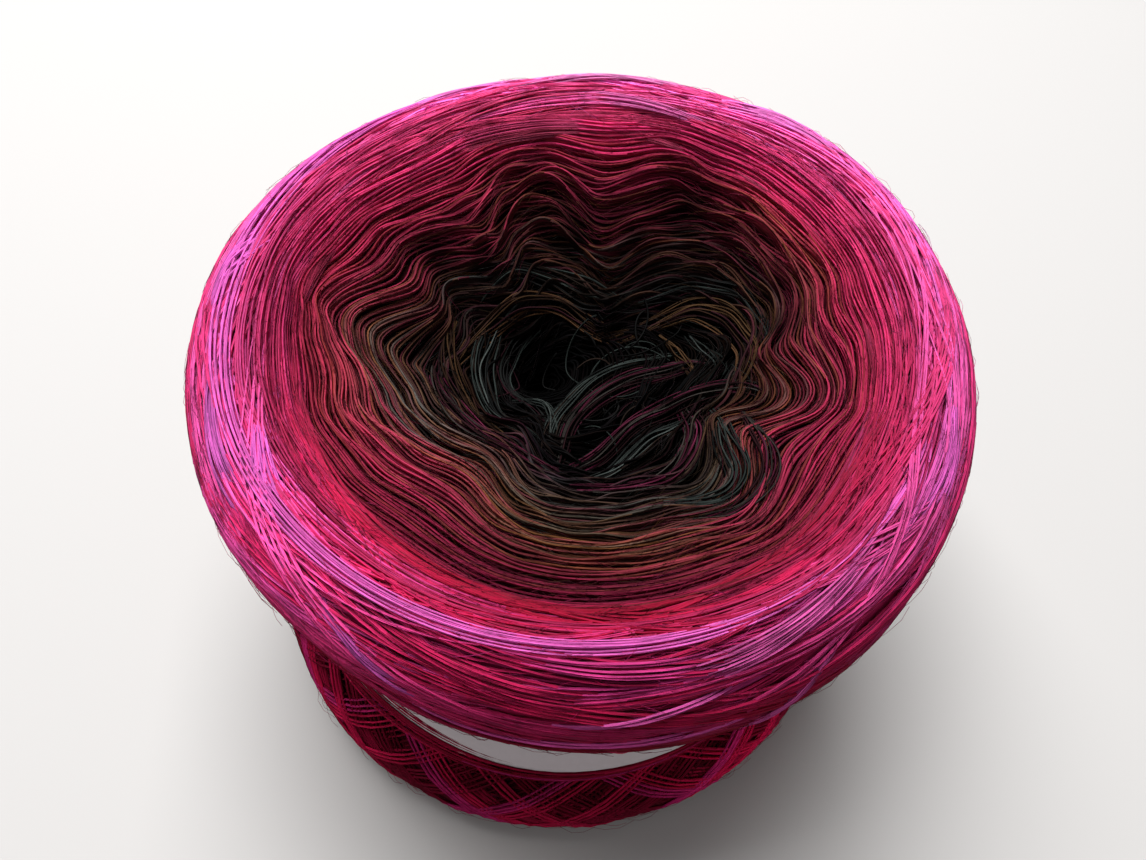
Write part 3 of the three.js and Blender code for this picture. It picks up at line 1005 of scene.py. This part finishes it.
def makeLowerWall():
    chance = np.random.RandomState(37)
    strands = []
    low, high = wallField.alongAt(1.2), wallField.alongAt(latticeFacts["top"])
    middle, swing = (low + high) / 2, (high - low) / 2
    steps = int(4 * math.pi * cakeFacts["wallRadius"] / latticeFacts["step"])
    theta = 2 * angles(steps)
    for layer, (bundles, many, depth, bright) in enumerate(latticeFacts["layers"]):
        for bundle in range(bundles):
            colour = pickColour(wallColoursAndShade, chance)
            phase = 2 * math.pi * (bundle + chance.uniform(-0.12, 0.12) + layer * 0.37) / bundles
            rise = chance.uniform(-0.2, 0.2)
            for member in range(many):
                wave = theta * latticeFacts["wavesInTwoTurns"] / 2 + phase
                apart = member * latticeFacts["spacing"] * latticeFacts["wavesInTwoTurns"]
                wave = wave + apart / cakeFacts["wallRadius"]
                tent = np.arcsin(np.sin(wave) * 0.985) / (math.pi / 2)
                along = middle + swing * tent * (0.99 - 0.04 * chance.uniform())
                over = rise + 0.12 * np.sin(theta * 7 + phase * 3)
                higher = bellAt(theta, edgeFacts["footAtDeg"], edgeFacts["footHalfWidth"])
                higher = higher * ease(0.4, 1.0, tent)
                lift = over - 0.1 - depth + 1.7 * higher
                path, up = wallField.at(theta % (2 * math.pi), along + 3.5 * higher, lift)
                # painted shade: the deeper layers are darker
                shade = colour * chance.uniform(0.8, 1.2) * bright
                # painted light: the wall is painted lighter round 318 degrees
                shade = shade * (1 + 1.2 * bellAt(theta, 318, 24))[:, None]
                thick = latticeFacts["thickness"] / 2 * chance.uniform(0.8, 1.1)
                strands.append((path, up, shade, thick, True))
    theta = angles(int(2 * math.pi * cakeFacts["waistRadius"] / latticeFacts["flatStep"]))
    for level in range(latticeFacts["flatTurns"]):  # flat turns under the crossed ones
        own = RingNoise(chance)
        along = low + (high - low) * level / latticeFacts["flatTurns"] + 0.8 * own.at(theta, 0)
        path, up = wallField.at(theta, np.clip(along, low, high), -1.0)
        # painted shade: the flat turns under the crossed ones are darkened
        colour = pickColour(wallColoursAndShade, chance) * latticeFacts["flatPaintedShade"]
        strands.append((path, up, colour, latticeFacts["flatRadius"], True))
    makeStrands("lowerWallTurns", strands, yarnMaterial)


def bandTurn(theta, height, radius, table, chance):
    colour = pickColour(table, chance)
    shift = axisAt(height)
    path = np.stack([shift[0] + radius * np.cos(theta), shift[1] + radius * np.sin(theta), height], 1)
    up = np.stack([np.cos(theta), np.sin(theta), 0 * theta], 1)
    colour = colour * chance.uniform(0.75, 1.15)
    return path, up, colour, edgeFacts["thickness"] / 2 * chance.uniform(0.8, 1.1), True


# a roll of turns at the foot of the band, and slack ones over its upper edge
def makeBandEdges():
    chance = np.random.RandomState(41)
    strands = []
    theta = angles(int(2 * math.pi * cakeFacts["waistRadius"] / latticeFacts["step"]))
    rise = edgeFacts["footRise"] * bellAt(theta, edgeFacts["footAtDeg"], edgeFacts["footHalfWidth"])
    for index in range(edgeFacts["footTurns"]):
        share = index / (edgeFacts["footTurns"] - 1)
        own = RingNoise(chance, (1, 2, 3, 5))
        high = edgeFacts["footTop"] - edgeFacts["footFrom"] + rise
        height = edgeFacts["footFrom"] + high * share + 0.9 * own.at(theta, 0) * (1 - share)
        away = edgeFacts["footRadius"] - 0.9 * share ** 2 + 0.2 * own.at(theta + 1, 0)
        strands.append(bandTurn(theta, height, away, wallColoursAndShade, chance))
    for index in range(edgeFacts["slackTurns"]):
        own = RingNoise(chance)
        atDeg = chance.uniform(190, 340) if index % 2 else chance.uniform(214, 236)
        drop = edgeFacts["slackDrop"] * chance.uniform(0.1, 1.0)
        drop = drop * bellAt(theta, atDeg, chance.uniform(18, 40))
        height = edgeFacts["slackFrom"] + 1.2 * own.at(theta, 0) - drop
        away = edgeFacts["slackRadius"] + 0.6 * own.at(theta + 1, 0) + 0.3 * drop
        strands.append(bandTurn(theta, height, away, rimColours["under"], chance))
    makeStrands("bandEdgeTurns", strands, yarnMaterial)


print("crossed turns of the lower wall")
makeLowerWall()
makeBandEdges()


# the locks round the well, and ribbons of strands that cross it

tangleFacts = {
    "curls": 24,
    "reach": 15.0,
    "thickness": 0.44,
    "step": 0.8,
    "mapReach": 34.0,
    "mapCell": 0.8,
}

lockColours = {
    "grey": ["#2A302E", "#161818", "#3E4442", "#241A16"],
    "brown": ["#3C2A1A", "#2A1A12", "#4C3422", "#2A1218"],
    "wine": ["#3E1424", "#241014", "#561C34", "#2E2A28"],
    "dark": ["#141414", "#1E1612", "#2A1018", "#262C2A"],
}

# colour, strands, width, lift, then the places that it passes, from the middle of the rim
ribbonFacts = {
    "left of the well": ("grey", 13, 3.4, 1.3,
     [(-10.7, 16.5), (-15.5, 11.3), (-17.1, 0.9), (-14.2, -8.2), (-8.5, -10.5), (-4.5, -13)]),
    "round the well": ("dark", 9, 2.6, 0.8,
     [(-8, 14), (-12.6, 11), (-14, 4), (-12.5, -1.2), (-7.5, -3.5), (-4.6, -8), (-4.4, -13)]),
    "over the well": ("brown", 12, 3.0, 1.6,
     [(-21.4, 2.2), (-16.3, 10.6), (-10.8, 15.2), (-3.8, 16.6), (2.3, 11.2), (7.5, 9.9)]),
    "over the eye": ("brown", 12, 3.2, 1.8,
     [(2.3, 10.2), (6.8, 9.9), (12.8, 12.9), (19.3, 17.3), (25, 13.8), (27.6, 5), (25.5, -2.2),
      (19.1, -5.1)]),
    "above the eye": ("dark", 8, 2.4, 0.8,
     [(5, 14), (11, 16.5), (18.5, 20.5), (26.5, 17), (30, 8), (29, 0)]),
    "cross ribbon": ("wine", 14, 3.6, 1.7,
     [(-3.8, -17), (-2.4, -8), (2.3, -2.2), (8.2, 1.1), (14.2, 2.3), (18.8, 5.4), (23.5, 3.7)]),
    "grey cross ribbon": ("grey", 8, 2.4, 1.5,
     [(-6, -15.5), (-4.6, -6.5), (0.5, 1.0), (6.5, 4.6), (13, 6), (18, 9)]),
    "lower ribbon": ("wine", 12, 3.4, 1.6,
     [(-2.9, -18.3), (3.9, -12), (9.5, -6.8), (15.2, -3.9), (20.5, -2.5), (26.4, -2.8), (30, -6.2)]),
    "lowest ribbon": ("grey", 9, 2.6, 1.2, [(-1, -20), (6, -15.5), (11, -10.5), (15.5, -7.5), (20, -7)]),
    "right of the slit": ("wine", 10, 3.0, 1.3,
     [(15.8, -2), (17.6, -11.3), (15.5, -17.2), (12, -21), (5, -22.2), (-3, -20.6)]),
    "right front lock": ("grey", 12, 3.2, 1.3,
     [(20.5, -5), (21, -15.8), (23.4, -20.8), (21.4, -25.2), (15, -26), (6, -25)]),
    "right wine lock": ("wine", 9, 2.6, 1.2,
     [(24, -5), (24.6, -12), (26.6, -18.5), (26.4, -24), (22, -28.2), (14, -28.6)]),
    "in the eye": ("brown", 7, 2.0, 1.0, [(13, 12.5), (16.2, 6.4), (19.9, 0.8)]),
    "in the eye too": ("grey", 7, 2.2, 1.0, [(17.8, 14.5), (20.2, 8), (23.4, 4.6), (21.7, 0)]),
    "lower left lock": ("wine", 12, 3.4, 1.3,
     [(-24.8, 2), (-23.8, -3), (-19.5, -9.6), (-13.7, -14.6), (-7.8, -17), (-1, -18.8)]),
    "left lock": ("brown", 10, 3.0, 1.2,
     [(-22, 12), (-22.8, 4), (-20.6, -3.2), (-16.6, -9.6), (-10.5, -13.6)]),
    "far lock": ("dark", 10, 3.0, 1.2,
     [(-18, 14), (-12, 20), (-5, 20.4), (2, 14.6), (8, 13.8), (13, 17.5)]),
    "loop at the well": ("grey", 6, 1.6, 1.4,
     [(-13, -3), (-9, -2.2), (-5.6, -2.6), (-4.4, -7), (-4.8, -12.7)]),
}


def neighbours(grid):
    padded = np.pad(grid, 1, mode="edge")
    return padded[:-2, 1:-1], padded[2:, 1:-1], padded[1:-1, :-2], padded[1:-1, 2:]


def groundMap():  # the height of the turns under the locks
    reach, cell = tangleFacts["mapReach"], tangleFacts["mapCell"]
    count = int(2 * reach / cell)
    ground = np.full((count, count), -1.0)
    theta = np.arange(720) * math.pi / 360

    def cellOf(value):
        return ((value + reach) / cell).astype(int).clip(0, count - 1)

    for turn in np.arange(0.8, 40, 0.35):
        x, y, z = restingTurn(turn, theta, 0.5)
        np.maximum.at(ground, (cellOf(y - rimY), cellOf(x - rimX)), z)
    for turn in range(12):
        empty = ground < 0
        if not empty.any():
            break
        ground = np.where(empty, np.max(neighbours(ground), 0), ground)
    for turn in range(2):
        below, above, left, right = neighbours(ground)
        ground = (below + above + left + right + 2 * ground) / 6
    return lambda x, y: ground[cellOf(y), cellOf(x)]


def smoothLine(values, turns=3):
    for turn in range(turns):
        inner = (values[:-2] + 2 * values[1:-1] + values[2:]) / 4
        values = np.concatenate([values[:1], inner, values[-1:]])
    return values


def throughPlaces(places, step):
    places = np.array(places, float)
    marks = running(np.hypot(*np.diff(places, axis=0).T))
    line = between(np.linspace(0, marks[-1], max(8, int(marks[-1] / step))), marks, places)
    rounds = int(4.0 / step) * 3
    return np.stack([smoothLine(line[:, axis], rounds) for axis in range(2)], 1)


def archOf(count):  # low at both ends
    return np.sin(math.pi * np.linspace(0.02, 0.98, count)) ** 0.6


def makeTangle():
    chance = np.random.RandomState(53)
    ground = groundMap()
    strands = []

    def lay(x, y, lift, hexCode):
        z = smoothLine(ground(x, y), 8) + lift
        path = np.stack([x + rimX, y + rimY, z], 1)
        thick = tangleFacts["thickness"] / 2 * chance.uniform(0.75, 1.1)
        colour = linearColour(hexCode) * chance.uniform(0.35, 1.3)
        strands.append((path, upright(len(x)), colour, thick, False))

    for tone, many, width, lift, places in ribbonFacts.values():
        line = throughPlaces(places, tangleFacts["step"])
        ahead = unit(np.gradient(line, axis=0))
        side = np.stack([-ahead[:, 1], ahead[:, 0]], 1)
        way = np.linspace(0, 1, len(line))
        narrow = 0.35 + 0.65 * np.sin(math.pi * np.clip(way, 0.02, 0.98)) ** 0.7
        narrow = narrow * (1 + 0.25 * np.sin(way * 7 + lift * 9))
        for member in range(many):
            place = (member + 0.5) / many * 2 - 1
            wander = 0.35 * np.sin(way * chance.uniform(3, 8) + chance.uniform(0, 6.3))
            wander = wander + 0.1 * np.sin(way * chance.uniform(14, 24) + chance.uniform(0, 6.3))
            first = int(chance.uniform(0, 0.12) * len(line))
            last = int(chance.uniform(0.88, 1) * len(line))
            spot = (line + side * (width / 2 * place * narrow + wander)[:, None])[first:last]
            rise = lift * (1 - 0.75 * place ** 2) + chance.uniform(-0.2, 0.2)
            ends = archOf(len(spot))
            lay(spot[:, 0], spot[:, 1], rise * ends - 1.6 * (1 - ends) - 0.1,
                lockColours[tone][int(chance.choice(4, p=[0.35, 0.3, 0.15, 0.2]))])
    for curl in range(tangleFacts["curls"]):
        length = chance.uniform(7, 20)
        count = int(length / tangleFacts["step"])
        heading = chance.uniform(0, 2 * math.pi)
        bend = chance.choice([-1, 1]) / chance.uniform(3.0, 9)
        turnBy = smoothLine(bend + chance.normal(0, 0.10, count), 8) * tangleFacts["step"]
        headings = heading + np.cumsum(turnBy)
        x = np.cumsum(np.cos(headings)) * tangleFacts["step"]
        y = np.cumsum(np.sin(headings)) * tangleFacts["step"]
        away = tangleFacts["reach"] * math.sqrt(chance.uniform())
        around = chance.uniform(0, 2 * math.pi)
        x = x - x.mean() + 3 + away * math.cos(around) * 1.2
        y = y - y.mean() + 1 + away * math.sin(around) * 0.8
        ends = archOf(count)
        lift = chance.uniform(0.2, 1.3) * ends - 0.6 * (1 - ends)
        lay(x, y, lift, lockColours["dark"][int(chance.randint(4))])
    makeStrands("wellLocks", strands, yarnMaterial)


print("locks round the well")
makeTangle()


# fine fibres that stand off the strands

fuzzFacts = {
    "rimHairs": 3000,
    "topHairs": 3300,
    "wallHairs": 400,
    "thickness": 0.065,
    "points": 4,
}


def makeFuzz():
    chance = np.random.RandomState(67)
    strands = []
    count = fuzzFacts["points"]
    way = np.linspace(0, 1, count)
    low, high = wallField.alongAt(44.0), wallField.total - 1.0
    for index in range(fuzzFacts["rimHairs"] + fuzzFacts["wallHairs"]):
        onRim = index < fuzzFacts["rimHairs"]
        length = chance.uniform(2.5, 9)
        start = chance.uniform(0, 2 * math.pi)
        slant = chance.normal(0, 0.35)
        theta = start + way * length * math.cos(slant) / cakeFacts["rimRadius"]
        first = chance.uniform(low, high) if onRim else chance.uniform(3, wallField.alongAt(24))
        along = first + way * length * math.sin(slant) + chance.normal(0, 0.5) * np.sin(way * 3)
        along = np.clip(along, 0.5, high)
        lift = chance.uniform(0.1, 1.0) ** 2 * np.sin(way * math.pi * chance.uniform(0.5, 1.0))
        lift = 0.25 + lift * 1.1
        path, up = wallField.at(theta % (2 * math.pi), along, lift)
        colour = pickColour(rimColours["outside" if onRim else "under"], chance) * 1.1
        colour = zonedWithPaintedLight(colour, along, theta) if onRim else colour
        strands.append((path, up, colour, fuzzFacts["thickness"] / 2, False))
    for index in range(fuzzFacts["topHairs"]):
        turn = 4 + 44 * math.sqrt(chance.uniform())
        length = chance.uniform(2, 7)
        theta = chance.uniform(0, 2 * math.pi) + way * length / max(turn, 6)
        turns = turn + way * length * chance.normal(0, 0.3)
        radius = turns + foldOf(turn, np.degrees(theta) % 360) + looseLay.wave(theta, turn)
        x, y, z = settleTurn(turn, np.maximum(radius, 1.0), theta)
        lift = 0.4 + chance.uniform(0.1, 1.1) * np.sin(way * math.pi * chance.uniform(0.4, 1.0))
        path = np.stack([x, y, z + lift], 1)
        # painted glints: the fibres of the top are painted lighter than their threads
        colour = threadColour(chance.randint(0, 4), np.full(count, turn), theta) * 1.5
        colour = colour + 0.03 * chance.uniform() ** 2
        strands.append((path, upright(count), colour, fuzzFacts["thickness"] / 2, False))
    makeStrands("woolFuzz", strands, yarnMaterial)


print("fine fibres")
makeFuzz()


# the paper band keeps its solid and gets a paper finish, its colour darkened as painted shade from the rim
# above

paperFacts = {
    # the paper's colour, darkened as painted shade
    "colour": "#C2B8BC",
    "fibreScale": 900.0,
    "cloudScale": 60.0,
    "roughness": 0.7,
}


def makePaper():
    recipe = Recipe("uncoatedPaper")
    place = recipe.node("ShaderNodeTexCoord", None, None, output=3)
    fibres = recipe.node("ShaderNodeTexNoise", None,
                         {"Vector": place, "Scale": paperFacts["fibreScale"], "Detail": 4.0})
    clouds = recipe.node("ShaderNodeTexNoise", None,
                         {"Vector": place, "Scale": paperFacts["cloudScale"], "Detail": 2.0})
    grey = fibres * 0.12 + clouds * 0.10 + 0.88
    bump = recipe.node("ShaderNodeBump", None, {"Strength": 0.3, "Distance": 0.00006, "Height": fibres})
    colour = (*linearColour(paperFacts["colour"]), 1)
    recipe.shade(Base_Color=recipe.tint(colour, grey),
                 Roughness=fibres * 0.1 + paperFacts["roughness"], Normal=bump)
    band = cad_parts["paper_band"]
    band.data.materials.clear()
    band.data.materials.append(recipe.material)


print("paper band")
makePaper()
